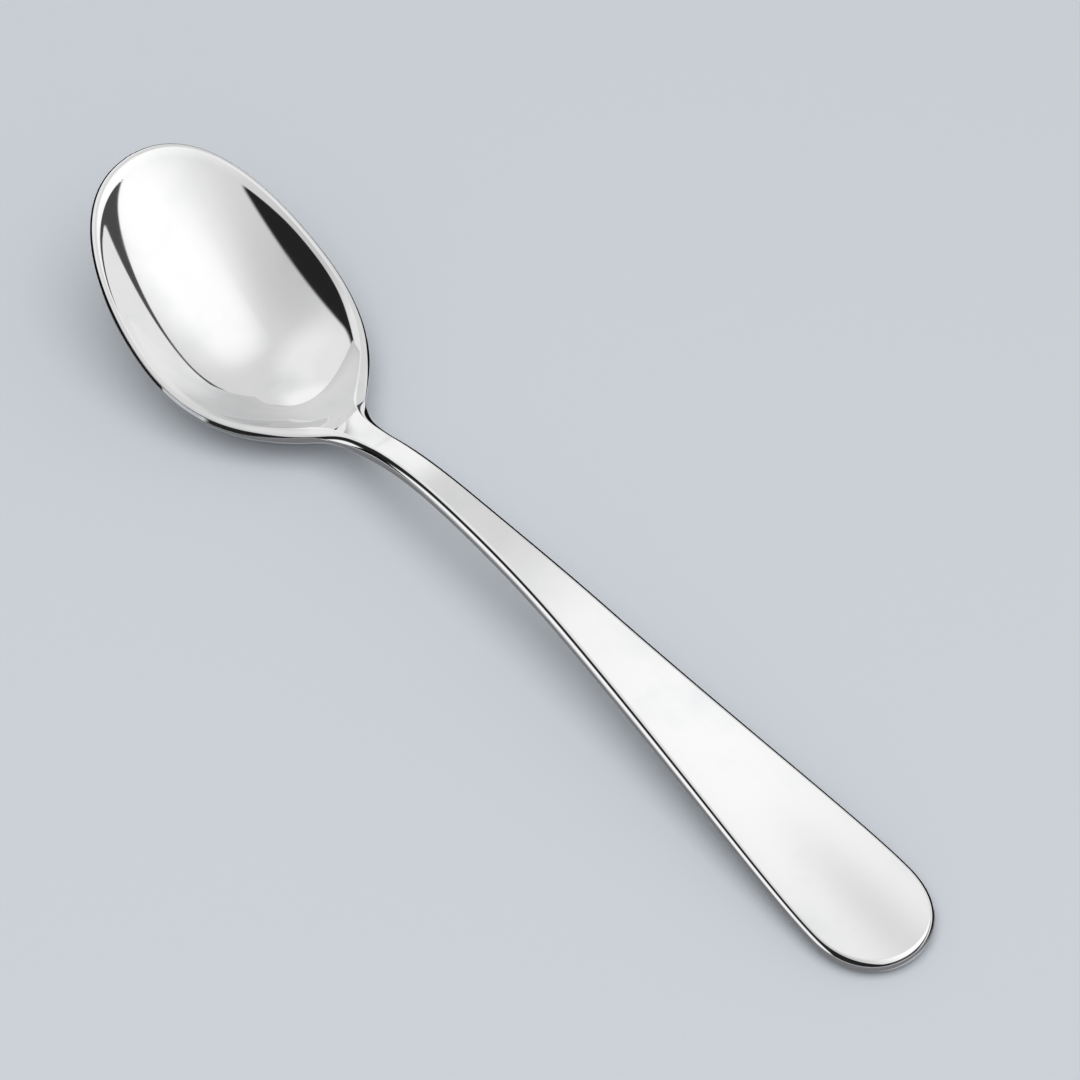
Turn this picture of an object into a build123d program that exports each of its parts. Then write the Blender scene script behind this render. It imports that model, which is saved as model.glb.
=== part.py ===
from build123d import *
import functools
import math
import os

# Teaspoon stamped and pressed from one strip of stainless steel, in millimetres.
# +X runs from the bowl's tip to the end of the handle, +Y across, +Z up.
# The origin lies under the middle of the spoon, on the table that it rests on.

# Plan view: lengths along the spoon, each from the end that it belongs to
overall_length = 140.0
bowl_widest_from_tip = 19.9
neck_from_tip = 39.3
stem_slimmest_from_tip = 51.7
handle_widest_from_end = 8.8

# Plan view: widths
bowl_width = 28.4
neck_width = 8.8
stem_width = 4.15
handle_width = 15.2

# Plan view: how far each curve of the outline keeps its direction before it turns
tip_roundness = 10.3
bowl_front_roundness = 9.7
bowl_back_roundness = 12.0
neck_bowl_side = 2.1
neck_stem_side = 3.8
neck_taper = 0.78
stem_front_reach = 5.3
stem_back_reach = 34.7
handle_flare_reach = 11.6
shoulder_roundness = 6.0
end_roundness = 3.7

# Side view: heights above the table of the middle of the edge, and its slopes
tip_height = 20.5
rim_low_height = 4.75
rim_low_from_tip = 34.3
stem_start_height = 7.5
stem_start_from_tip = 48.0
crest_height = 9.55
crest_from_tip = 64.0
handle_start_from_tip = 84.0
tip_slope = -0.65
stem_start_slope = 0.35
handle_slope = -0.13

# Dish of the bowl: the heel that stands on the table, and the ramp up to the stem
heel_from_tip = 27.6
ramp_from_tip = 35.0
ramp_length = 11.0

# Thickness of the steel, crown of the handle's face and rounding of the edges
bowl_gauge = 1.3
stem_gauge = 2.3
handle_gauge = 2.0
crown_radius = 60.0
edge_radius = 0.5
edge_share_of_wall = 0.4

# Fineness of the pressed faces, and the spare stock round the spoon
station_step = 2.0
rib_step = 1.6
face_tolerance = 0.01
slope_step = 0.01
stock_margin = 2.0

tip_x = -overall_length / 2
end_x = overall_length / 2
stem_start_x = tip_x + stem_start_from_tip
handle_start_x = tip_x + handle_start_from_tip
half_bowl = bowl_width / 2
handle_lean = math.hypot(1, handle_slope)
handle_end_height = handle_gauge / 2 * handle_lean
stock_height = 2 * tip_height + 2 * stock_margin


def ease(value):
    """Smooth step from 0 to 1."""
    t = min(max(value, 0.0), 1.0)
    return t * t * (3 - 2 * t)


def outline_curves():
    """Half outline from the tip to the end: two ends and two pulls for each curve."""
    widest = Vector(tip_x + bowl_widest_from_tip, half_bowl)
    neck = Vector(tip_x + neck_from_tip, neck_width / 2)
    stem = Vector(tip_x + stem_slimmest_from_tip, stem_width / 2)
    shoulder = Vector(end_x - handle_widest_from_end, handle_width / 2)
    tip, end = Vector(tip_x, 0), Vector(end_x, 0)
    along, out = Vector(1, 0), Vector(0, 1)
    taper = Vector(1, -neck_taper).normalized()
    return [
        (tip, tip + out * tip_roundness, widest - along * bowl_front_roundness, widest),
        (widest, widest + along * bowl_back_roundness, neck - taper * neck_bowl_side, neck),
        (neck, neck + taper * neck_stem_side, stem - along * stem_front_reach, stem),
        (stem, stem + along * stem_back_reach, shoulder - along * handle_flare_reach, shoulder),
        (shoulder, shoulder + along * shoulder_roundness, end + out * end_roundness, end),
    ]


def outline_face():
    """Plan of the whole spoon, at the foot of the stock that it is cut from."""
    near = [Edge.make_bezier(*curve) for curve in outline_curves()]
    far = [edge.mirror(Plane.XZ) for edge in near]
    return Face(Wire(near + far)).moved(Location((0, 0, -stock_height / 2)))


@functools.cache
def half_width(x):
    """Half the width of the outline at x, found by halving the curve that spans it."""
    for start, pull_out, pull_in, finish in outline_curves():
        if x > finish.X:
            continue
        low, high = 0.0, 1.0
        while high - low > 1e-9:
            t = (low + high) / 2
            s = 1 - t
            point = start * s**3 + pull_out * (3 * s * s * t) + pull_in * (3 * s * t * t) + finish * t**3
            low, high = (t, high) if point.X < x else (low, t)
        return point.Y
    return 0.0


def width_squared(x):
    """Square of the half width, carried on in a straight line past the tip."""
    first_x = tip_x + slope_step
    if x > first_x:
        return half_width(x) ** 2
    return half_width(first_x) ** 2 * (x - tip_x) / slope_step


def edge_stations():
    """Side view of the edge: place, height and slope at each station."""
    handle_run = end_x - handle_start_x
    return [
        (tip_x, tip_height, tip_slope),
        (tip_x + rim_low_from_tip, rim_low_height, 0.0),
        (stem_start_x, stem_start_height, stem_start_slope),
        (tip_x + crest_from_tip, crest_height, 0.0),
        (handle_start_x, handle_end_height - handle_slope * handle_run, handle_slope),
        (end_x, handle_end_height, handle_slope),
    ]


def edge_height(x):
    """Height of the edge: cubic spans through the stations, straight beyond them."""
    stations = edge_stations()
    for x_end, height, slope in (stations[0], stations[-1]):
        if (x - x_end) * x_end >= 0:
            return height + slope * (x - x_end)
    for (x0, z0, m0), (x1, z1, m1) in zip(stations, stations[1:]):
        if x <= x1:
            span = x1 - x0
            t = (x - x0) / span
            rise = z0 + (z1 - z0) * ease(t)
            return rise + span * t * (1 - t) * (m0 * (1 - t) - m1 * t)


def gauge(x):
    """Thickness of the steel along the spoon."""
    widest_x = tip_x + bowl_widest_from_tip
    crest_x = tip_x + crest_from_tip
    to_stem = ease((x - widest_x) / (stem_start_x - widest_x))
    to_handle = ease((x - crest_x) / (handle_start_x - crest_x))
    return bowl_gauge + (stem_gauge - bowl_gauge) * to_stem + (handle_gauge - stem_gauge) * to_handle


def bowl_depth():
    """Depth of the dish at the widest place, which sets the heel down on the table."""
    heel_x = tip_x + heel_from_tip
    return (edge_height(heel_x) - gauge(heel_x) / 2) * half_bowl**2 / width_squared(heel_x)


depth = bowl_depth()


def dish(x, y):
    """Fall of the steel below its edge: a parabola across each rib, run out along the ramp."""
    ramp = 1 - ease((x - tip_x - ramp_from_tip) / ramp_length)
    return ramp * depth * (width_squared(x) - y * y) / half_bowl**2


def sheet(x, y):
    """Height of the middle of the steel."""
    return edge_height(x) - dish(x, y)


def half_rise(x, y):
    """Half the thickness, measured upright where the steel leans."""
    along = (sheet(x + slope_step, y) - sheet(x - slope_step, y)) / (2 * slope_step)
    across = (sheet(x, y + slope_step) - sheet(x, y - slope_step)) / (2 * slope_step)
    return gauge(x) / 2 * math.hypot(1, along, across)


def crown(x, y):
    """Fall of the upper face from its middle to the sides of the stem and the handle."""
    neck_x = tip_x + neck_from_tip
    crest_x = tip_x + crest_from_tip
    return ease((x - neck_x) / (crest_x - neck_x)) * y * y / (2 * crown_radius)


def top_height(x, y):
    """Upper face of the spoon."""
    return sheet(x, y) + half_rise(x, y) - crown(x, y)


def under_height(x, y):
    """Lower face of the spoon."""
    return sheet(x, y) - half_rise(x, y)


def pressed_face(height, x_from, x_to):
    """Smooth face through the heights over one stretch of the spoon, a little past its ends."""
    x_low, x_high = x_from - stock_margin, x_to + stock_margin
    y_high = stock_margin + max(half_width(x_from), half_width(x_to), widest_between(x_from, x_to))
    stations = math.ceil((x_high - x_low) / station_step)
    ribs = math.ceil(2 * y_high / rib_step)
    grid = []
    for i in range(stations + 1):
        x = x_low + (x_high - x_low) * i / stations
        across = [y_high * (2 * j / ribs - 1) for j in range(ribs + 1)]
        grid.append([(x, y, height(x, y)) for y in across])
    return Face.make_surface_from_array_of_points(grid, tol=face_tolerance, min_deg=3, max_deg=3)


def widest_between(x_from, x_to):
    """Largest half width of the outline within a stretch of the spoon."""
    places = [curve[3] for curve in outline_curves() if x_from <= curve[3].X <= x_to]
    return max((place.Y for place in places), default=0.0)


def edge_round():
    """Radius of every edge, held to a share of the thinnest upright wall of the outline."""
    steps = math.ceil(overall_length / station_step)
    places = [tip_x + overall_length * i / steps for i in range(1, steps)]
    walls = [top_height(x, half_width(x)) - under_height(x, half_width(x)) for x in places]
    return min(edge_radius, edge_share_of_wall * min(walls))


outline = outline_face()
rounding = edge_round()


def stamp(x_from, x_to):
    """Block with the spoon's outline over one stretch, taller than the spoon."""
    with BuildSketch(Plane.XY.offset(-stock_height / 2)) as stretch:
        with Locations(((x_from + x_to) / 2, 0)):
            Rectangle(x_to - x_from, 2 * overall_length)
    extrude(stretch.sketch, amount=stock_height)
    extrude(outline, amount=stock_height, dir=(0, 0, 1), mode=Mode.INTERSECT, clean=False)


def press_top(x_from, x_to):
    """Cut the block down to the upper face."""
    face = pressed_face(top_height, x_from, x_to)
    extrude(face, amount=stock_height, dir=(0, 0, 1), mode=Mode.SUBTRACT, clean=False)


def press_under(x_from, x_to):
    """Cut the block up to the lower face."""
    face = pressed_face(under_height, x_from, x_to)
    extrude(face, amount=stock_height, dir=(0, 0, -1), mode=Mode.SUBTRACT, clean=False)


def round_edges(piece):
    """Round the outline's edges, above and below, and leave the cuts between zones square."""
    body = piece.part.solid()
    rims = body.edges().filter_by(Axis.Z, reverse=True).filter_by(Plane.YZ, reverse=True)
    add(body.fillet(rounding, rims), mode=Mode.REPLACE, clean=False)


# Bowl: dished oval with its ramp up to the stem
with BuildPart() as bowl:
    stamp(tip_x - stock_margin, stem_start_x)
    press_top(tip_x, stem_start_x)
    press_under(tip_x, stem_start_x)
    round_edges(bowl)

# Stem: slim arch from the bowl to the handle
with BuildPart() as stem:
    stamp(stem_start_x, handle_start_x)
    press_top(stem_start_x, handle_start_x)
    press_under(stem_start_x, handle_start_x)
    round_edges(stem)

# Handle: straight, widening to the shoulders, crowned above and flat on its back
handle_back = Plane(
    origin=(end_x, 0, 0),
    x_dir=(1, 0, handle_slope),
    z_dir=(-handle_slope, 0, 1),
)
with BuildPart() as handle:
    stamp(handle_start_x, end_x + stock_margin)
    press_top(handle_start_x, end_x)
    with BuildSketch(handle_back):
        Rectangle(2 * overall_length, 2 * overall_length)
    extrude(amount=-stock_height, mode=Mode.SUBTRACT, clean=False)
    round_edges(handle)

os.makedirs("parts", exist_ok=True)
for name, piece in (("bowl", bowl), ("stem", stem), ("handle", handle)):
    piece.part.label = name
    export_step(piece.part, f"parts/{name}.step")
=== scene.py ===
import math

import bpy
import numpy as np
from bpy.props import FloatProperty, FloatVectorProperty, IntProperty, PointerProperty, StringProperty
from mathutils import Euler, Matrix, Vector


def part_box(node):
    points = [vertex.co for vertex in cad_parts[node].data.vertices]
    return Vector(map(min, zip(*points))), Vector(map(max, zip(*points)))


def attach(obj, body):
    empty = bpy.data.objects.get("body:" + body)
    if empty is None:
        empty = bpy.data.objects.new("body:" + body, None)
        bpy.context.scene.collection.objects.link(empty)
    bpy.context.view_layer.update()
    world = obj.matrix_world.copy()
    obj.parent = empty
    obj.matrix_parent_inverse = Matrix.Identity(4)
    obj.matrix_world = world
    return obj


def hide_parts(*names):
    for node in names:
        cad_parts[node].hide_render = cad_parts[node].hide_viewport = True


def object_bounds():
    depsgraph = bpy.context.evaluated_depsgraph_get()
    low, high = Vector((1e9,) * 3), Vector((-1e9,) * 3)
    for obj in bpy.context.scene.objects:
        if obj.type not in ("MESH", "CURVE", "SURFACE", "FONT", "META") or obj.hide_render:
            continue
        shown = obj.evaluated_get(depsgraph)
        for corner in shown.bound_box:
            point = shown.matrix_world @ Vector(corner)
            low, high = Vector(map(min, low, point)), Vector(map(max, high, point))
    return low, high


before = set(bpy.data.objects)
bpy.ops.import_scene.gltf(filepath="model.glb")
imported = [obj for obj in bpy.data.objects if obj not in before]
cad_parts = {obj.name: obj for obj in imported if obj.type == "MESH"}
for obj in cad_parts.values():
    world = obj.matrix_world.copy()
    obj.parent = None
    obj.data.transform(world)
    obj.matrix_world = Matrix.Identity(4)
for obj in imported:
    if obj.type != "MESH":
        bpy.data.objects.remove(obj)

bl_info = {
    "name": "Teaspoon",
    "version": (1, 0, 0),
    "blender": (4, 5, 0),
    "location": "View3D > Sidebar > Teaspoon",
    "description": "One-piece polished teaspoon: bowl, stem and handle, with a plain studio",
    "category": "Mesh",
}

CAD_LOW, CAD_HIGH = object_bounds()
BOWL_LOW, BOWL_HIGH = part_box("bowl")
STEM_LOW, STEM_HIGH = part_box("stem")
HANDLE_LOW, HANDLE_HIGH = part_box("handle")
MM = 0.001

# Half the distance over which a slope is measured
SLOPE_STEP = 0.01 * MM
# Points of a mesh that fall into the same cell of this size are one point
WELD = 1e-4 * MM
# Halvings that find a place on the outline
HALVINGS = 48
# Keeps a length from being zero
TINY = 1e-30

# What polished steel shows of the light tent: an even dome, and parts that lie over it in
# turn. Each part is a cone: the azimuth and the height of its axis, the angles from the axis
# at which it starts and ends to fade, whether it takes over inside, and its brightness.
DOME = 0.82
TENT_PARTS = (
    # Broad bright window to the camera's right
    (38.0, 33.0, 12.0, 58.0, True, 1.25),
    # Greyer stretch on the near side
    (-70.0, 48.0, 5.0, 40.0, True, 0.68),
    # Bright window beyond the tip
    (-165.0, 55.0, 10.0, 35.0, True, 1.0),
    # Dark band round the foot of the tent
    (40.0, 81.0, 66.5, 67.1, False, 0.08),
    # Pale wall below the band
    (115.0, -70.0, 87.4, 88.2, True, 0.95),
    # Two pale gaps in the band, beyond the tip
    (-165.0, 32.0, 14.0, 22.0, True, 0.95),
    (160.0, 28.0, 10.0, 22.0, True, 1.10),
    # Dark opening, low on the near side
    (90.0, 41.8, 89.2, 90.8, False, 0.02),
    # Bright board in the opening
    (-111.0, 0.0, 22.0, 28.0, True, 1.15),
)


def length(label, text, default):
    """Length in metres."""
    return FloatProperty(name=label, description=text, default=default, precision=5, unit="LENGTH")


def ratio(label, text, default):
    """Plain number, such as a slope or a roughness."""
    return FloatProperty(name=label, description=text, default=default, precision=4)


def angle(label, text, degrees):
    """Angle, written in degrees."""
    return FloatProperty(name=label, description=text, default=math.radians(degrees), subtype="ANGLE")


def colour(label, text, default):
    """Colour as an sRGB hex value."""
    return StringProperty(name=label, description=text, default=default)


def count(label, text, default):
    """Number of divisions of a surface."""
    return IntProperty(name=label, description=text, default=default, min=4)


class SpoonPlan(bpy.types.PropertyGroup):
    """Outline of the spoon seen from above."""

    tip_x: length("Tip", "Place of the bowl's tip along the spoon", CAD_LOW.x)
    end_x: length("End", "Place of the handle's end along the spoon", CAD_HIGH.x)
    stem_start_x: length("Stem start", "Where the bowl gives way to the stem", STEM_LOW.x)
    handle_start_x: length("Handle start", "Where the stem gives way to the handle", HANDLE_LOW.x)
    bowl_widest: length("Bowl widest", "Widest place of the bowl, from the tip", 19.9 * MM)
    neck: length("Neck", "Where bowl and stem meet in the outline, from the tip", 39.3 * MM)
    slimmest: length("Slimmest", "Slimmest place of the stem, from the tip", 51.7 * MM)
    shoulder: length("Shoulder", "Widest place of the handle, from its end", 8.8 * MM)
    bowl_width: length("Bowl width", "Width of the bowl", BOWL_HIGH.y - BOWL_LOW.y)
    neck_width: length("Neck width", "Width at the neck", 8.8 * MM)
    stem_width: length("Stem width", "Width of the slimmest place", 4.15 * MM)
    handle_width: length("Handle width", "Width at the shoulders", HANDLE_HIGH.y - HANDLE_LOW.y)
    tip_round: length("Tip round", "How far the tip runs straight across", 10.3 * MM)
    bowl_front: length("Bowl front", "How far the bowl's side runs on towards the tip", 9.7 * MM)
    bowl_back: length("Bowl back", "How far the bowl's side runs on towards the neck", 12.0 * MM)
    neck_front: length("Neck front", "How far the neck keeps its slant into the bowl", 2.1 * MM)
    neck_back: length("Neck back", "How far the neck keeps its slant into the stem", 3.8 * MM)
    neck_taper: ratio("Neck taper", "Slant of the outline at the neck", 0.78)
    stem_front: length("Stem front", "How far the stem runs straight towards the neck", 5.3 * MM)
    stem_back: length("Stem back", "How far the stem runs straight towards the handle", 34.7 * MM)
    handle_flare: length("Handle flare", "How far the shoulder runs on towards the stem", 11.6 * MM)
    shoulder_round: length("Shoulder round", "How far the shoulder runs on towards the end", 6.0 * MM)
    end_round: length("End round", "How far the end runs straight across", 3.7 * MM)


class SpoonSide(bpy.types.PropertyGroup):
    """Heights, dish and thickness of the spoon seen from the side."""

    tip_height: length("Tip height", "Height of the edge at the tip", 20.5 * MM)
    low_height: length("Low height", "Height of the edge where it is lowest", 5.1 * MM)
    low: length("Low place", "Where the bowl's edge is lowest, from the tip", 34.3 * MM)
    stem_height: length("Stem height", "Height of the edge where the stem starts", 7.5 * MM)
    crest_height: length("Crest height", "Height of the edge at the top of the arch", 9.55 * MM)
    crest: length("Crest", "Top of the stem's arch, from the tip", 64.0 * MM)
    tip_slope: ratio("Tip slope", "Slope of the edge at the tip", -0.65)
    stem_slope: ratio("Stem slope", "Slope of the edge where the stem starts", 0.35)
    handle_slope: ratio("Handle slope", "Slope of the straight handle", -0.13)
    heel: length("Heel", "Place of the bowl that stands on the table, from the tip", 27.6 * MM)
    ramp: length("Ramp", "Where the dish starts to run out, from the tip", 37.0 * MM)
    ramp_length: length("Ramp length", "Length over which the dish runs out", 10.0 * MM)
    fullness: ratio("Fullness", "Share that the dish gains from the heel to the neck", 0.8)
    heel_gap: length("Heel gap", "Room between the heel and the table", 0.03 * MM)
    bowl_gauge: length("Bowl gauge", "Thickness of the steel in the bowl", 1.3 * MM)
    stem_gauge: length("Stem gauge", "Thickness of the steel in the stem", 2.3 * MM)
    handle_gauge: length("Handle gauge", "Thickness of the steel in the handle", 2.3 * MM)
    crown_radius: length("Crown radius", "Radius of the handle's face across the spoon", 60.0 * MM)
    roll_width: length("Roll width", "How far in from the outline the bowl's edge rolls over", 1.4 * MM)
    roll_radius: length("Roll radius", "Radius at which the bowl's edge rolls over", 3.0 * MM)
    edge_power: ratio("Edge power", "Power of the edge's curve: 2 is round, less is bevelled", 1.4)
    edge_share: ratio("Edge share", "Share of the half thickness that the edge's curve takes", 0.72)
    neck_reach: length("Neck reach", "How far from the neck the edge loses its upright wall", 7.0 * MM)
    neck_blend: length("Neck blend", "How far the dish softens the outline's turn at the neck", 0.9 * MM)
    stations: count("Stations", "Stations along each curve of the outline", 64)
    ribs: count("Ribs", "Divisions across each half of a face", 28)
    arcs: count("Arcs", "Divisions of the rounded edge", 20)


class SpoonFinish(bpy.types.PropertyGroup):
    """Colours and polish of the steel."""

    steel: colour("Steel", "Colour of the polished steel", "#E8E8E8")
    steel_shade: colour("Steel shade", "Colour of the steel where handling has dulled it", "#E0E1E2")
    polish: ratio("Polish", "Roughness of the cleanest places", 0.035)
    smear: ratio("Smear", "Roughness added where handling has dulled the steel", 0.03)
    smear_size: length("Smear size", "Size of the dulled places", 9.0 * MM)
    buff_pitch: length("Buff pitch", "Distance between the buffing wheel's lines", 0.3 * MM)
    buff_height: length("Buff height", "Height of the buffing lines", 0.00002 * MM)


class SpoonStudio(bpy.types.PropertyGroup):
    """Floor, light, studio cards and camera."""

    floor: colour("Floor", "Colour of the floor and the background", "#CBD0D6")
    key_power: FloatProperty(
        name="Key",
        description="Power of the soft key light",
        default=6.9,
        unit="POWER",
    )
    key_size: length("Key size", "Width of the soft key light", 1.2)
    key_direction: FloatVectorProperty(
        name="Key direction",
        description="From the spoon to the key light",
        default=(0.15, -0.13, 1.0),
        subtype="DIRECTION",
    )
    fill: ratio("Fill", "Light that comes evenly from all sides", 0.50)
    panel_away: length("Panel distance", "From the handle to the soft panel", 120.0 * MM)
    panel_length: length("Panel length", "Length of the soft panel", 140.0 * MM)
    panel_width: length("Panel width", "Width of the soft panel", 124.0 * MM)
    panel_light: ratio("Panel light", "Brightness of the soft panel", 1.22)
    flag: colour("Flag", "Colour of the black flag", "#0C0C0C")
    flag_fibre: colour("Flag fibre", "Colour of the flag's lighter fibres", "#1C1C1D")
    # Painted shade: the grey card and its fibres are seen only in the steel, where they stand in for the
    # shadowed floor beside the spoon
    card: colour("Card", "Colour of the grey card", "#7C7C7E")
    card_fibre: colour("Card fibre", "Colour of the card's lighter fibres", "#8C8C8E")
    card_gap: length("Card gap", "From the spoon's outline to the grey card", 0.3 * MM)
    card_reach: length("Card reach", "From the outline to the card's outer line", 18.0 * MM)
    azimuth: angle("Azimuth", "Turn of the camera about the upright", 48.88)
    elevation: angle("Elevation", "Height of the camera above the table", 50.75)
    distance: length("Distance", "From the camera to the middle of the picture", 0.7)
    lens: ratio("Lens", "Focal length in millimetres", 195.8)
    aim: FloatVectorProperty(
        name="Aim",
        description="Point in the middle of the picture",
        default=(-0.004155, 0.008889, -0.00013),
        subtype="TRANSLATION",
    )


class SpoonSettings(bpy.types.PropertyGroup):
    """All settings of the teaspoon."""

    plan: PointerProperty(type=SpoonPlan)
    side: PointerProperty(type=SpoonSide)
    finish: PointerProperty(type=SpoonFinish)
    studio: PointerProperty(type=SpoonStudio)


def linear(hex_colour):
    """Linear colour with full opacity from an sRGB hex value."""
    codes = np.array([int(hex_colour[i : i + 2], 16) for i in (1, 3, 5)]) / 255
    values = np.where(codes <= 0.04045, codes / 12.92, ((codes + 0.055) / 1.055) ** 2.4)
    return (*values.tolist(), 1.0)


def ease(value):
    """Smooth step: 3t² - 2t³ with t held between 0 and 1."""
    t = np.clip(value, 0.0, 1.0)
    return t * t * (3 - 2 * t)


def unit(vectors):
    """Vectors scaled to length 1."""
    return vectors / np.linalg.norm(vectors, axis=-1, keepdims=True)


class PressedSheet:
    """Formulas of the pressed steel: outline, edge height, dish, thickness and crown."""

    def __init__(self, plan, side):
        self.plan = plan
        self.side = side
        self.curves = self.outline_curves()
        self.knots = self.edge_knots()
        heel = np.array([plan.tip_x + side.heel])
        clear = self.edge_height(heel) - self.gauge(heel) / 2 - side.heel_gap
        clear = clear + side.roll_width**2 / (2 * side.roll_radius)
        self.depth = float(clear[0] * (plan.bowl_width / 2) ** 2 / self.width_squared(heel)[0])

    def outline_curves(self):
        """Half outline as five cubic curves, each with its two ends and two pulls."""
        p = self.plan
        tip, end = np.array([p.tip_x, 0.0]), np.array([p.end_x, 0.0])
        along, out = np.array([1.0, 0.0]), np.array([0.0, 1.0])
        widest = tip + along * p.bowl_widest + out * p.bowl_width / 2
        neck = tip + along * p.neck + out * p.neck_width / 2
        slim = tip + along * p.slimmest + out * p.stem_width / 2
        shoulder = end - along * p.shoulder + out * p.handle_width / 2
        slant = np.array([1.0, -p.neck_taper]) / math.hypot(1.0, p.neck_taper)
        return np.array([
            (tip, tip + out * p.tip_round, widest - along * p.bowl_front, widest),
            (widest, widest + along * p.bowl_back, neck - slant * p.neck_front, neck),
            (neck, neck + slant * p.neck_back, slim - along * p.stem_front, slim),
            (slim, slim + along * p.stem_back, shoulder - along * p.handle_flare, shoulder),
            (shoulder, shoulder + along * p.shoulder_round, end + out * p.end_round, end),
        ])

    def outline(self, u):
        """Points and directions of the half outline; u counts curves, from 0 at the tip to 5."""
        which = np.clip(u.astype(int), 0, len(self.curves) - 1)
        t = u - which
        s = 1 - t
        pulls = self.curves[which]
        weights = np.stack([s**3, 3 * s * s * t, 3 * s * t * t, t**3], axis=-1)
        points = np.einsum("...k,...kc->...c", weights, pulls)
        slopes = np.stack([s * s, 2 * s * t, t * t], axis=-1)
        directions = 3 * np.einsum("...k,...kc->...c", slopes, np.diff(pulls, axis=-2))
        return points, directions

    def outline_place(self, x):
        """Curve count u at which the half outline passes x, by halving on whole arrays."""
        low = np.zeros_like(x)
        high = np.full_like(x, len(self.curves))
        for _ in range(HALVINGS):
            middle = (low + high) / 2
            short = self.outline(middle)[0][..., 0] < x
            low = np.where(short, middle, low)
            high = np.where(short, high, middle)
        return (low + high) / 2

    def width_squared(self, x):
        """Square of the outline's half width at x."""
        return self.outline(self.outline_place(x))[0][..., 1] ** 2

    def edge_knots(self):
        """Places, heights and slopes that the edge passes in side view."""
        p, s = self.plan, self.side
        end_height = s.handle_gauge / 2 * math.hypot(1.0, s.handle_slope)
        start_height = end_height - s.handle_slope * (p.end_x - p.handle_start_x)
        return np.array([
            (p.tip_x, s.tip_height, s.tip_slope),
            (p.tip_x + s.low, s.low_height, 0.0),
            (p.stem_start_x, s.stem_height, s.stem_slope),
            (p.tip_x + s.crest, s.crest_height, 0.0),
            (p.handle_start_x, start_height, s.handle_slope),
            (p.end_x, end_height, s.handle_slope),
        ])

    def edge_height(self, x):
        """Height of the edge: cubic spans that meet the knots' heights and slopes."""
        places, heights, slopes = self.knots.T
        span = np.clip(np.searchsorted(places, x) - 1, 0, len(places) - 2)
        run = places[span + 1] - places[span]
        t = (x - places[span]) / run
        rise = heights[span] + (heights[span + 1] - heights[span]) * ease(t)
        return rise + run * t * (1 - t) * (slopes[span] * (1 - t) - slopes[span + 1] * t)

    def gauge(self, x):
        """Thickness of the steel: bowl, stem and handle, eased into each other."""
        p, s = self.plan, self.side
        widest, crest = p.tip_x + p.bowl_widest, p.tip_x + s.crest
        to_stem = ease((x - widest) / (p.stem_start_x - widest))
        to_handle = ease((x - crest) / (p.handle_start_x - crest))
        at_stem = s.bowl_gauge + (s.stem_gauge - s.bowl_gauge) * to_stem
        return at_stem + (s.handle_gauge - s.stem_gauge) * to_handle

    def edge_share(self, x):
        """Share of the half thickness that the edge's curve takes: all of it at the neck."""
        share, neck = self.side.edge_share, self.plan.tip_x + self.plan.neck
        return share + (1 - share) * ease(1 - abs(x - neck) / self.side.neck_reach)

    def crown(self, x, y):
        """Fall of the upper face from its middle: y² / 2R, eased in behind the neck."""
        start, crest = self.plan.tip_x + self.plan.neck, self.plan.tip_x + self.side.crest
        return ease((x - start) / (crest - start)) * y * y / (2 * self.side.crown_radius)

    def crown_slope(self, x, y):
        """Slope across the spoon at which the crown falls."""
        rise = self.crown(x, y + SLOPE_STEP) - self.crown(x, y - SLOPE_STEP)
        return rise / (2 * SLOPE_STEP)

    def middle(self, x, y):
        """Height of the middle of the steel.

        The edge, less a parabola across each rib, which gains depth from the heel to the
        neck and runs out along the ramp. Within the roll's width of the outline the steel
        rolls over: it falls by the square of how far inside that width it is, over twice
        the roll's radius. The roll eases out from the low place to the neck, where the
        parabola takes its width from a little before and behind as well.
        """
        p, s = self.plan, self.side
        rolled = 1 - ease((x - p.tip_x - s.low) / (p.neck - s.low))
        wide = self.width_squared(x)
        around = (self.width_squared(x + s.neck_blend) + self.width_squared(x - s.neck_blend)) / 2
        inside = wide + (1 - rolled) * (around - wide) / 2 - y * y
        widening = self.width_squared(x + SLOPE_STEP) - self.width_squared(x - SLOPE_STEP)
        steepness = np.hypot(widening / (2 * SLOPE_STEP), 2 * y)
        from_edge = inside / np.maximum(steepness, SLOPE_STEP)
        roll = rolled * (s.roll_width**2 - np.maximum(s.roll_width - from_edge, 0.0) ** 2)
        ramp = 1 - ease((x - p.tip_x - s.ramp) / s.ramp_length)
        gain = 1 + s.fullness * np.maximum((x - p.tip_x - s.heel) / (p.neck - s.heel), 0.0) ** 2
        dish = gain * self.depth * inside / (p.bowl_width / 2) ** 2 - roll / (2 * s.roll_radius)
        return self.edge_height(x) - ramp * dish

    def middle_normal(self, x, y):
        """Upward normal of the middle surface, from its slopes along and across."""
        along = self.middle(x + SLOPE_STEP, y) - self.middle(x - SLOPE_STEP, y)
        across = self.middle(x, y + SLOPE_STEP) - self.middle(x, y - SLOPE_STEP)
        return unit(np.stack([-along, -across, np.full_like(along, 2 * SLOPE_STEP)], axis=-1))


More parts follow.
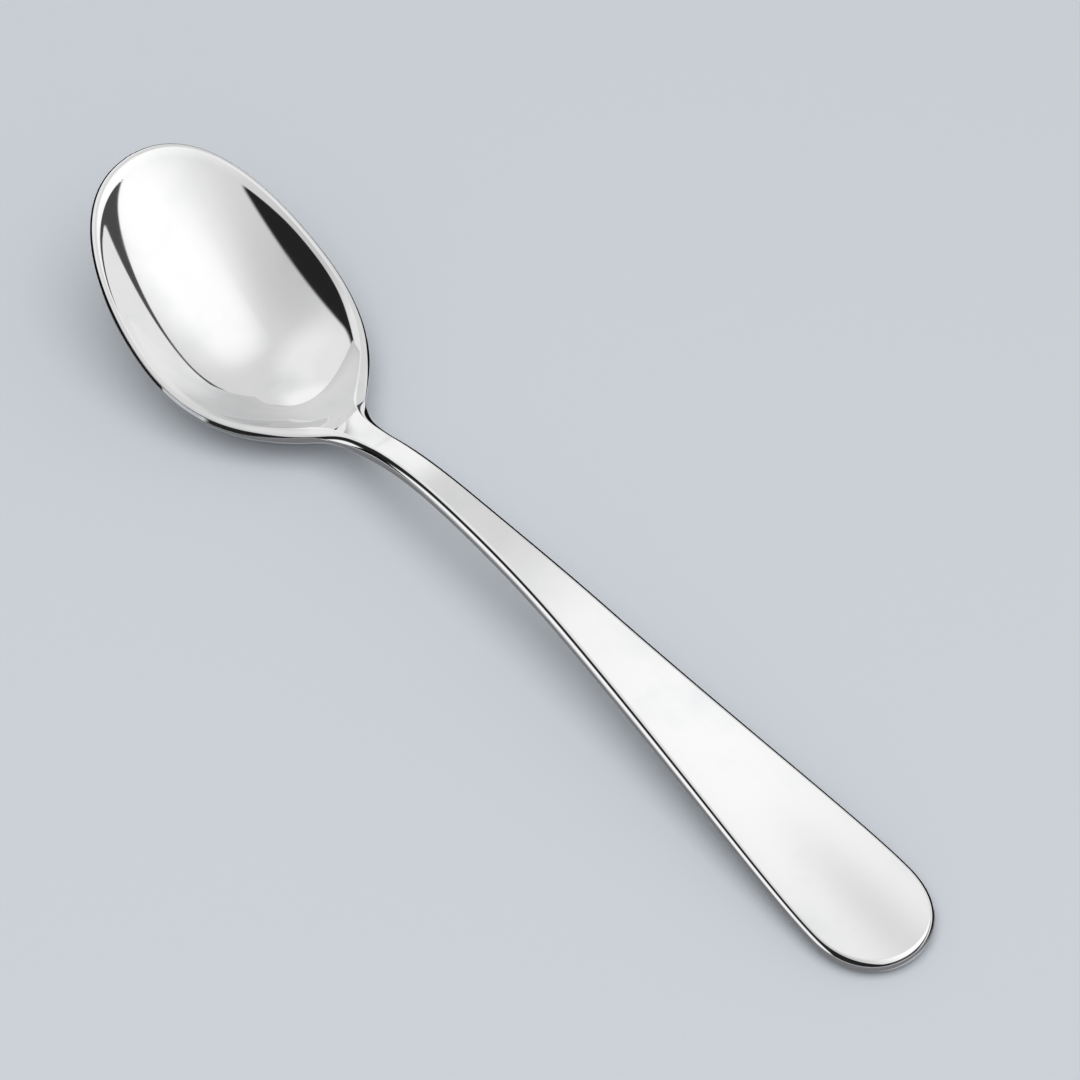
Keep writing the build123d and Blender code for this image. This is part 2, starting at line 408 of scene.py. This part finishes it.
def pressed_rings(sheet, u):
    """Closed ring of points and normals round the spoon at each outline place u.

    With r half the thickness and b a share of it, the edge is a curve above, an upright
    wall and a curve below. On each curve the two distances from its centre, over b and
    raised to the edge's power, add up to 1. The ring runs from side to side over the upper
    face, r and the crown above the middle surface along its normal, down round the edge
    from the crown's slope to half a turn, back under the lower face, r below the middle
    surface, and up round the other edge. Where the steel leans, the edge moves in by as
    much as its wall hangs over, so that it stays within the outline.
    """
    outline, heading = sheet.outline(u)
    heading = unit(heading)
    outward = np.stack([-heading[:, 1], heading[:, 0]], axis=-1)
    gauge = sheet.gauge(outline[:, 0])
    edge_crown = sheet.crown(outline[:, 0], outline[:, 1])
    radius = (gauge - edge_crown) / 2
    bevel = sheet.edge_share(outline[:, 0]) * radius
    reach, lean = 2 / sheet.side.edge_power, 2 - 2 / sheet.side.edge_power
    leaning = sheet.middle_normal(*outline.T)[:, :2]
    overhang = (radius - bevel) * abs(np.sum(leaning * outward, axis=-1))
    centre = outline - (bevel + overhang)[:, None] * outward
    centre[:, 1] = np.maximum(centre[:, 1], 0.0)
    x, y = centre.T

    def middle_point(px, py):
        return np.stack([px, py, sheet.middle(px, py) - edge_crown[:, None] / 2], axis=-1)

    normal = sheet.middle_normal(x, y)
    along = np.stack([heading[:, 0], heading[:, 1], np.zeros_like(x)], axis=-1)
    side = unit(np.cross(normal, along))
    tilt = np.arctan(np.maximum(sheet.crown_slope(x, y) * side[:, 1], 0.0) ** (1 / lean))
    start = bevel * np.sin(tilt) ** reach

    # Upper face, from the middle to where the edge's curve begins
    fraction = np.linspace(0.0, 1.0, sheet.side.ribs + 1)[None, :]
    top_x = x[:, None] + fraction**2 * (start * side[:, 0])[:, None]
    top_y = y[:, None] * fraction + fraction**2 * (start * side[:, 1])[:, None]
    top_normal = sheet.middle_normal(top_x, top_y)
    face_crown = sheet.crown(top_x, top_y)
    edge_lift = radius - bevel + bevel * np.cos(tilt) ** reach
    lift = edge_lift[:, None] + face_crown[:, -1:] - face_crown
    top = middle_point(top_x, top_y) + lift[..., None] * top_normal
    falling = sheet.crown_slope(top_x, top_y)[..., None] * np.array([0.0, 1.0, 0.0])
    top_normal = unit(top_normal + falling)

    # Edge: the upper curve, then the lower one, with the wall between them
    half_turn = np.linspace(0.0, 1.0, sheet.side.arcs // 2 + 1)[None, :]
    upper = tilt[:, None] + (math.pi / 2 - tilt[:, None]) * half_turn
    lower = math.pi / 2 * np.broadcast_to(half_turn[:, ::-1], upper.shape)
    turn = np.concatenate([upper, lower], axis=1)
    sign = np.where(np.arange(turn.shape[1]) < upper.shape[1], 1.0, -1.0)[None, :, None]

    def edge_vector(power):
        up, across = np.cos(turn)[..., None] ** power, np.sin(turn)[..., None] ** power
        return sign * up * normal[:, None] + across * side[:, None]

    edge_normal = unit(edge_vector(lean))
    edge_middle = np.stack([x, y, sheet.middle(x, y) - edge_crown / 2], axis=-1)
    wall = sign * (radius - bevel)[:, None, None] * normal[:, None]
    edge = edge_middle[:, None] + wall + bevel[:, None, None] * edge_vector(reach)

    # Lower face, from the edge back to the middle
    under_y = y[:, None] * fraction[:, ::-1]
    under_x = np.broadcast_to(x[:, None], under_y.shape)
    under_normal = -sheet.middle_normal(under_x, under_y)
    under = middle_point(under_x, under_y) + radius[:, None, None] * under_normal

    # One side of the ring, and its mirror image on the way back
    half = np.concatenate([top[:, :-1], edge, under[:, 1:]], axis=1)
    half_normal = np.concatenate([top_normal[:, :-1], edge_normal, under_normal[:, 1:]], axis=1)
    mirror = np.array([1.0, -1.0, 1.0])
    points = np.concatenate([half, half[:, -2:0:-1] * mirror], axis=1)
    normals = np.concatenate([half_normal, half_normal[:, -2:0:-1] * mirror], axis=1)
    return points, normals


def end_caps(index):
    """Triangles across the first and the last ring, between its two sides."""
    columns = index.shape[1]
    left = np.arange(columns // 2 + 1)
    right = (columns - left) % columns
    caps = []
    for ring, turned in ((index[0], False), (index[-1], True)):
        near, far = ring[left], ring[right]
        first = np.stack([near[:-1], far[1:], far[:-1]], axis=-1)
        second = np.stack([near[:-1], near[1:], far[1:]], axis=-1)
        cap = np.concatenate([first, second])
        caps.append(cap[:, ::-1] if turned else cap)
    return np.concatenate(caps)


def spoon_piece(name, sheet, u_from, u_to):
    """Closed mesh of one zone: rings skinned with triangles, flat where it meets its neighbours."""
    curves = math.ceil(u_to) - math.floor(u_from)
    u = np.linspace(u_from, u_to, sheet.side.stations * curves + 1)
    points, normals = pressed_rings(sheet, u)
    rows, columns = points.shape[:2]
    index = np.arange(rows * columns).reshape(rows, columns)
    ahead = np.roll(index, -1, axis=1)
    quads = np.stack([index[:-1], index[1:], ahead[1:], ahead[:-1]], axis=-1).reshape(-1, 4)
    caps = end_caps(index)
    triangles = np.concatenate([quads[:, [0, 1, 2]], quads[:, [0, 2, 3]], caps])
    is_cap = np.arange(len(triangles)) >= len(triangles) - len(caps)

    # Points that coincide become one, and triangles without area go
    places = points.reshape(-1, 3)
    cells = np.round(places / WELD).astype(np.int64)
    _, first_of, same = np.unique(cells, axis=0, return_index=True, return_inverse=True)
    triangles = same.ravel()[triangles]
    a, b, c = triangles.T
    distinct = (a != b) & (b != c) & (c != a)
    triangles, is_cap = triangles[distinct], is_cap[distinct]
    places, facing = places[first_of], normals.reshape(-1, 3)[first_of]

    mesh = bpy.data.meshes.new(name)
    mesh.from_pydata(places.tolist(), [], triangles.tolist())
    corner_normals = facing[triangles]
    corners = places[triangles]
    square = np.cross(corners[:, 1] - corners[:, 0], corners[:, 2] - corners[:, 0])
    corner_normals[is_cap] = unit(square + TINY)[is_cap][:, None]
    mesh.polygons.foreach_set("use_smooth", ~is_cap)
    mesh.normals_split_custom_set(corner_normals.reshape(-1, 3).tolist())
    mesh.update()
    piece = bpy.data.objects.new(name, mesh)
    bpy.context.scene.collection.objects.link(piece)
    return piece


def add_node(tree, kind, inputs=None, **settings):
    """Add a node, set its settings, and fill or link its inputs."""
    node = tree.nodes.new(kind)
    for key, value in settings.items():
        setattr(node, key, value)
    for key, value in (inputs or {}).items():
        if isinstance(value, bpy.types.NodeSocket):
            tree.links.new(value, node.inputs[key])
        else:
            node.inputs[key].default_value = value
    return node


def empty_material(name):
    """New material without nodes."""
    material = bpy.data.materials.new(name)
    material.use_nodes = True
    material.node_tree.nodes.clear()
    return material


def polished_steel(finish):
    """Mirror-polished stainless steel.

    Buffed after pressing, so it shows the room sharply and hardly any grey of its own.
    Handling leaves broad, faintly dulled places, and the buffing wheel leaves very fine
    lines along the spoon, drawn wider apart than they really are.
    """
    name = "mirror_polished_stainless_steel"
    found = bpy.data.materials.get(name)
    if found:
        return found
    material = empty_material(name)
    tree = material.node_tree
    place = add_node(tree, "ShaderNodeTexCoord").outputs["Object"]
    smears = add_node(
        tree,
        "ShaderNodeTexNoise",
        {"Vector": place, "Scale": 1 / finish.smear_size, "Detail": 3.0, "Roughness": 0.55},
    ).outputs["Fac"]
    dulled = add_node(
        tree,
        "ShaderNodeMapRange",
        {"Value": smears, "From Min": 0.45, "From Max": 0.75},
        interpolation_type="SMOOTHSTEP",
    ).outputs["Result"]
    tint = add_node(
        tree,
        "ShaderNodeMix",
        {"Factor": dulled, "A": linear(finish.steel), "B": linear(finish.steel_shade)},
        data_type="RGBA",
    )
    roughness = add_node(
        tree,
        "ShaderNodeMath",
        {0: dulled, 1: finish.smear, 2: finish.polish},
        operation="MULTIPLY_ADD",
    ).outputs["Value"]
    # The lines are 25 times as long as they are wide
    stretched = add_node(
        tree,
        "ShaderNodeMapping",
        {"Vector": place, "Scale": (1 / 25, 1.0, 1.0)},
    ).outputs["Vector"]
    lines = add_node(
        tree,
        "ShaderNodeTexNoise",
        {"Vector": stretched, "Scale": 1 / finish.buff_pitch, "Detail": 2.0},
    ).outputs["Fac"]
    buffed = add_node(
        tree,
        "ShaderNodeBump",
        {"Height": lines, "Strength": 1.0, "Distance": finish.buff_height},
    ).outputs["Normal"]
    steel = add_node(
        tree,
        "ShaderNodeBsdfPrincipled",
        {"Metallic": 1.0, "Roughness": roughness, "Normal": buffed},
    )
    tree.links.new(tint.outputs[2], steel.inputs["Base Color"])
    add_node(tree, "ShaderNodeOutputMaterial", {"Surface": steel.outputs["BSDF"]})
    return material


def finish_piece(piece, node, finish):
    """Give a piece its steel and its body, and hide the CAD node that it stands for."""
    piece.data.materials.append(polished_steel(finish))
    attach(piece, "root")
    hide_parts(node)


def spoon_settings(context):
    """Settings and formulas that the operators share."""
    settings = context.scene.teaspoon
    return settings, PressedSheet(settings.plan, settings.side)


def station(sheet, x):
    """Outline place at which the edge's curve has its centre at x, on steel that hardly leans."""
    low, high = np.zeros(1), np.full(1, float(len(sheet.curves)))
    for _ in range(HALVINGS):
        middle = (low + high) / 2
        outline, heading = sheet.outline(middle)
        heading = unit(heading)
        radius = (sheet.gauge(outline[:, 0]) - sheet.crown(outline[:, 0], outline[:, 1])) / 2
        short = outline[:, 0] + sheet.edge_share(outline[:, 0]) * radius * heading[:, 1] < x
        low, high = np.where(short, middle, low), np.where(short, high, middle)
    return float(low[0])


class SPOON_OT_bowl(bpy.types.Operator):
    """Make the dished bowl with its ramp up to the stem"""

    bl_idname = "teaspoon.bowl"
    bl_label = "Bowl"

    def execute(self, context):
        settings, sheet = spoon_settings(context)
        stop = station(sheet, settings.plan.stem_start_x)
        piece = spoon_piece("polished_bowl", sheet, 0.0, stop)
        finish_piece(piece, "bowl", settings.finish)
        return {"FINISHED"}


class SPOON_OT_stem(bpy.types.Operator):
    """Make the slim arched stem"""

    bl_idname = "teaspoon.stem"
    bl_label = "Stem"

    def execute(self, context):
        settings, sheet = spoon_settings(context)
        start = station(sheet, settings.plan.stem_start_x)
        stop = station(sheet, settings.plan.handle_start_x)
        piece = spoon_piece("polished_stem", sheet, start, stop)
        finish_piece(piece, "stem", settings.finish)
        return {"FINISHED"}


class SPOON_OT_handle(bpy.types.Operator):
    """Make the straight handle with its rounded end"""

    bl_idname = "teaspoon.handle"
    bl_label = "Handle"

    def execute(self, context):
        settings, sheet = spoon_settings(context)
        start = station(sheet, settings.plan.handle_start_x)
        piece = spoon_piece("polished_handle", sheet, start, float(len(sheet.curves)))
        finish_piece(piece, "handle", settings.finish)
        return {"FINISHED"}


def matt_floor(hex_colour):
    """Matt painted board: pale, without gloss, with a breath of paint-roller texture."""
    nap_size, nap_height = 2.5 * MM, 0.02 * MM
    material = empty_material("matt_painted_board")
    tree = material.node_tree
    place = add_node(tree, "ShaderNodeTexCoord").outputs["Object"]
    nap = add_node(
        tree,
        "ShaderNodeTexNoise",
        {"Vector": place, "Scale": 1 / nap_size, "Detail": 3.0},
    ).outputs["Fac"]
    texture = add_node(
        tree,
        "ShaderNodeBump",
        {"Height": nap, "Strength": 0.1, "Distance": nap_height},
    ).outputs["Normal"]
    board = add_node(
        tree,
        "ShaderNodeBsdfDiffuse",
        {"Color": linear(hex_colour), "Normal": texture},
    )
    add_node(tree, "ShaderNodeOutputMaterial", {"Surface": board.outputs["BSDF"]})
    return material


def lay_floor(studio):
    """Level square floor under the spoon."""
    reach = 3.0
    corners = reach * np.array([(-1, -1, 0), (1, -1, 0), (1, 1, 0), (-1, 1, 0)], float)
    mesh = bpy.data.meshes.new("studio_floor")
    mesh.from_pydata(corners.tolist(), [], [(0, 1, 2, 3)])
    mesh.materials.append(matt_floor(studio.floor))
    floor = bpy.data.objects.new("studio_floor", mesh)
    bpy.context.scene.collection.objects.link(floor)


def toward(azimuth, height):
    """Unit direction with its turn from +X and its height above the table, in degrees."""
    turn, rise = math.radians(azimuth), math.radians(height)
    return (math.cos(turn) * math.cos(rise), math.sin(turn) * math.cos(rise), math.sin(rise))


def light_tent(studio):
    """Soft light tent round the spoon.

    Polished steel shows the dome and the tent's parts, each of which takes over by the angle
    between the ray and its axis. Matt surfaces get the same even light from all sides, and
    the camera sees the floor's colour beyond the floor.
    """
    world = bpy.data.worlds.new("light_tent")
    bpy.context.scene.world = world
    world.use_nodes = True
    tree = world.node_tree
    tree.nodes.clear()
    ray = add_node(tree, "ShaderNodeTexCoord").outputs["Generated"]
    tent = DOME
    for azimuth, height, near, far, inside, brightness in TENT_PARTS:
        facing = add_node(
            tree,
            "ShaderNodeVectorMath",
            {0: ray, 1: toward(azimuth, height)},
            operation="DOT_PRODUCT",
        ).outputs["Value"]
        away = add_node(tree, "ShaderNodeMath", {0: facing}, operation="ARCCOSINE").outputs["Value"]
        share = add_node(
            tree,
            "ShaderNodeMapRange",
            {
                "Value": away,
                "From Min": math.radians(near),
                "From Max": math.radians(far),
                "To Min": float(inside),
                "To Max": float(not inside),
            },
            interpolation_type="SMOOTHSTEP",
        ).outputs["Result"]
        mix = add_node(tree, "ShaderNodeMix", {"Factor": share, "A": tent, "B": brightness})
        tent = mix.outputs["Result"]
    seen = add_node(tree, "ShaderNodeLightPath").outputs
    strength = add_node(
        tree,
        "ShaderNodeMix",
        {"Factor": seen["Is Glossy Ray"], "A": studio.fill, "B": tent},
    ).outputs["Result"]
    even = add_node(
        tree,
        "ShaderNodeBackground",
        {"Color": linear("#FFFFFF"), "Strength": strength},
    ).outputs["Background"]
    pale = add_node(
        tree,
        "ShaderNodeBackground",
        {"Color": linear(studio.floor), "Strength": 1.0},
    ).outputs["Background"]
    mixed = add_node(
        tree,
        "ShaderNodeMixShader",
        {0: seen["Is Camera Ray"], 1: even, 2: pale},
    ).outputs["Shader"]
    add_node(tree, "ShaderNodeOutputWorld", {"Surface": mixed})


def show_in_steel(item):
    """Put a studio card into the scene so that only the polished steel shows it."""
    item.visible_camera = False
    item.visible_diffuse = False
    item.visible_shadow = False
    bpy.context.scene.collection.objects.link(item)


def diffusing_fabric(brightness):
    """Fabric of a soft panel: shines by its glow at each point, and is clear for the rest."""
    material = empty_material("diffusing_fabric")
    tree = material.node_tree
    glow = add_node(tree, "ShaderNodeAttribute", attribute_name="glow").outputs["Fac"]
    lit = add_node(tree, "ShaderNodeEmission", {"Strength": brightness}).outputs["Emission"]
    clear = add_node(tree, "ShaderNodeBsdfTransparent").outputs["BSDF"]
    mixed = add_node(tree, "ShaderNodeMixShader", {0: glow, 1: clear, 2: lit}).outputs["Shader"]
    add_node(tree, "ShaderNodeOutputMaterial", {"Surface": mixed})
    return material


def hang_panel(settings):
    """Soft panel along the handle, hung where its face mirrors it to the camera.

    The panel is a flat grid: u runs along the handle and v across, at a right angle to the
    mirrored line of sight, both from -1 to 1. Its glow is the root of one smooth hump along
    times one across, dimmed by a dip that is a bell across and deepens towards the handle's end.
    """
    studio, slope = settings.studio, settings.side.handle_slope
    flat = math.cos(studio.elevation)
    sight = np.array([
        math.sin(studio.azimuth) * flat,
        -math.cos(studio.azimuth) * flat,
        math.sin(studio.elevation),
    ])
    face = unit(np.array([-slope, 0.0, 1.0]))
    mirrored = 2 * (face @ sight) * face - sight
    handle = unit(np.array([1.0, 0.0, slope]))
    across = unit(np.cross(mirrored, handle))
    middle = np.array((HANDLE_LOW + HANDLE_HIGH) / 2)
    centre = middle + studio.panel_away * mirrored

    divisions = 32
    steps = np.linspace(-1.0, 1.0, divisions + 1)
    u, v = np.meshgrid(steps, steps, indexing="ij")
    dip_everywhere, dip_at_end = 0.1, 0.75
    dip_start, dip_run, dip_width = 0.1, 0.4, 0.3
    dip = dip_everywhere + dip_at_end * ease((u - dip_start) / dip_run)
    dip = dip * np.exp(-((v / dip_width) ** 2))
    glow = np.sqrt(ease(1 - abs(u)) * ease(1 - abs(v))) * (1 - dip)
    half_length, half_width = studio.panel_length / 2, studio.panel_width / 2
    places = centre + half_length * u[..., None] * handle + half_width * v[..., None] * across
    index = np.arange(u.size).reshape(u.shape)
    quads = np.stack([index[:-1, :-1], index[1:, :-1], index[1:, 1:], index[:-1, 1:]], axis=-1)
    mesh = bpy.data.meshes.new("soft_panel")
    mesh.from_pydata(places.reshape(-1, 3).tolist(), [], quads.reshape(-1, 4).tolist())
    mesh.attributes.new("glow", "FLOAT", "POINT").data.foreach_set("value", glow.ravel())
    mesh.materials.append(diffusing_fabric(studio.panel_light))
    show_in_steel(bpy.data.objects.new("soft_panel", mesh))


def felt(name, ground, fibre):
    """Studio felt: dull and even, with faintly lighter fibres."""
    fibre_size = MM / 0.9
    material = empty_material(name)
    tree = material.node_tree
    place = add_node(tree, "ShaderNodeTexCoord").outputs["Object"]
    fibres = add_node(tree, "ShaderNodeTexNoise", {"Vector": place, "Scale": 1 / fibre_size})
    shade = add_node(
        tree,
        "ShaderNodeMix",
        {"Factor": fibres.outputs["Fac"], "A": linear(ground), "B": linear(fibre)},
        data_type="RGBA",
    )
    dull = add_node(tree, "ShaderNodeBsdfDiffuse", {"Color": shade.outputs[2]})
    add_node(tree, "ShaderNodeOutputMaterial", {"Surface": dull.outputs["BSDF"]})
    return material


def lay_strip(name, inner, outer, material):
    """Strip of faces between two lines of places, which only the steel shows."""
    index = np.arange(2 * len(inner)).reshape(2, -1)
    quads = np.stack([index[0, :-1], index[0, 1:], index[1, 1:], index[1, :-1]], axis=-1)
    mesh = bpy.data.meshes.new(name)
    mesh.from_pydata(np.concatenate([inner, outer]).tolist(), [], quads.tolist())
    mesh.materials.append(material)
    show_in_steel(bpy.data.objects.new(name, mesh))


def lay_flag(studio):
    """Black flag round the far side of the spoon, which draws the steel's dark outlines.

    Its inner line keeps clear of the spoon. Its outer line is far away, low beside the handle
    and raised beyond the tip.
    """
    low, high = 0.2 * MM, 80.0 * MM
    # Inner and outer places in pairs, from the handle's end round the bowl's tip
    pairs = np.array([
        ((0.080, 0.008, low), (0.30, 0.45, low)),
        ((-0.050, 0.019, low), (-0.10, 0.50, low)),
        ((-0.086, 0.012, low), (-0.40, 0.30, high)),
        ((-0.094, -0.020, low), (-0.50, 0.00, high)),
        ((-0.085, -0.060, low), (-0.45, -0.20, high)),
        ((-0.060, -0.085, low), (-0.38, -0.33, high)),
    ])
    material = felt("black_felt", studio.flag, studio.flag_fibre)
    lay_strip("black_flag", pairs[:, 0], pairs[:, 1], material)


def lay_shade_card(studio, sheet):
    """Grey card along the near side of the spoon and round the handle's end.

    Its inner line keeps a small gap from the outline, and its outer line lies farther out, at a
    right angle to the outline. Only the steel shows it. Its grey is painted shade that stands in for
    the shadowed floor beside the spoon, and it greys the near wall of the edge.
    """
    # Outline places of the near side from the tip, and of the far side back from the end
    near, beyond = np.linspace(0.3, 5.0, 95), np.linspace(4.95, 4.3, 14)
    u = np.concatenate([near, beyond])
    side = np.concatenate([np.full_like(near, -1.0), np.ones_like(beyond)])
    outline, heading = sheet.outline(u)
    heading = unit(heading)
    outward = np.stack([-heading[:, 1], heading[:, 0] * side], axis=-1)
    outline = outline * np.stack([np.ones_like(side), side], axis=-1)
    height = np.full(len(u), 0.1 * MM)
    inner = np.column_stack([outline + studio.card_gap * outward, height])
    outer = np.column_stack([outline + studio.card_reach * outward, height])
    # The card's grey is painted shade: the steel's near walls mirror it in place of the floor's shadow
    lay_strip("painted_shade_card", inner, outer, felt("painted_shade_felt", studio.card, studio.card_fibre))


def key_light(studio):
    """Large soft lamp a metre above the spoon, which throws its shadow."""
    lamp = bpy.data.lights.new("key_light", "AREA")
    lamp.shape = "DISK"
    lamp.size = studio.key_size
    lamp.energy = studio.key_power
    direction = Vector(studio.key_direction).normalized()
    light = bpy.data.objects.new("key_light", lamp)
    light.location = direction
    light.rotation_euler = direction.to_track_quat("Z", "Y").to_euler()
    light.visible_glossy = False
    light.visible_camera = False
    bpy.context.scene.collection.objects.link(light)


def place_camera(studio):
    """Camera that looks at the aim point from its azimuth and elevation, upright."""
    data = bpy.data.cameras.new("photo_camera")
    data.lens = studio.lens
    data.sensor_width = 36.0
    data.clip_start = 0.01
    camera = bpy.data.objects.new("photo_camera", data)
    camera.rotation_euler = Euler((math.pi / 2 - studio.elevation, 0.0, studio.azimuth))
    ahead = camera.rotation_euler.to_matrix() @ Vector((0.0, 0.0, -1.0))
    camera.location = Vector(studio.aim) - studio.distance * ahead
    bpy.context.scene.collection.objects.link(camera)
    bpy.context.scene.camera = camera


class SPOON_OT_stage(bpy.types.Operator):
    """Lay the floor, hang the light and place the camera"""

    bl_idname = "teaspoon.stage"
    bl_label = "Studio"

    def execute(self, context):
        settings, sheet = spoon_settings(context)
        studio = settings.studio
        context.scene.view_settings.view_transform = "Standard"
        lay_floor(studio)
        light_tent(studio)
        hang_panel(settings)
        lay_flag(studio)
        # Grey card: painted shade that the steel's near walls mirror in place of the floor's shadow
        lay_shade_card(studio, sheet)
        key_light(studio)
        place_camera(studio)
        return {"FINISHED"}


class SPOON_PT_panel(bpy.types.Panel):
    """Buttons for the teaspoon's pieces, and its sizes"""

    bl_idname = "SPOON_PT_panel"
    bl_label = "Teaspoon"
    bl_space_type = "VIEW_3D"
    bl_region_type = "UI"
    bl_category = "Teaspoon"

    def draw(self, context):
        settings = context.scene.teaspoon
        for operator in OPERATORS:
            self.layout.operator(operator.bl_idname)
        for group in (settings.plan, settings.side, settings.finish, settings.studio):
            box = self.layout.box()
            for key in group.__annotations__:
                box.prop(group, key)


OPERATORS = (SPOON_OT_bowl, SPOON_OT_stem, SPOON_OT_handle, SPOON_OT_stage)
CLASSES = (SpoonPlan, SpoonSide, SpoonFinish, SpoonStudio, SpoonSettings, *OPERATORS, SPOON_PT_panel)


def register():
    for cls in CLASSES:
        bpy.utils.register_class(cls)
    bpy.types.Scene.teaspoon = PointerProperty(type=SpoonSettings)


def unregister():
    del bpy.types.Scene.teaspoon
    for cls in reversed(CLASSES):
        bpy.utils.unregister_class(cls)


def main():
    register()
    bpy.ops.teaspoon.bowl()
    bpy.ops.teaspoon.stem()
    bpy.ops.teaspoon.handle()
    bpy.ops.teaspoon.stage()


if __name__ == "__main__":
    main()
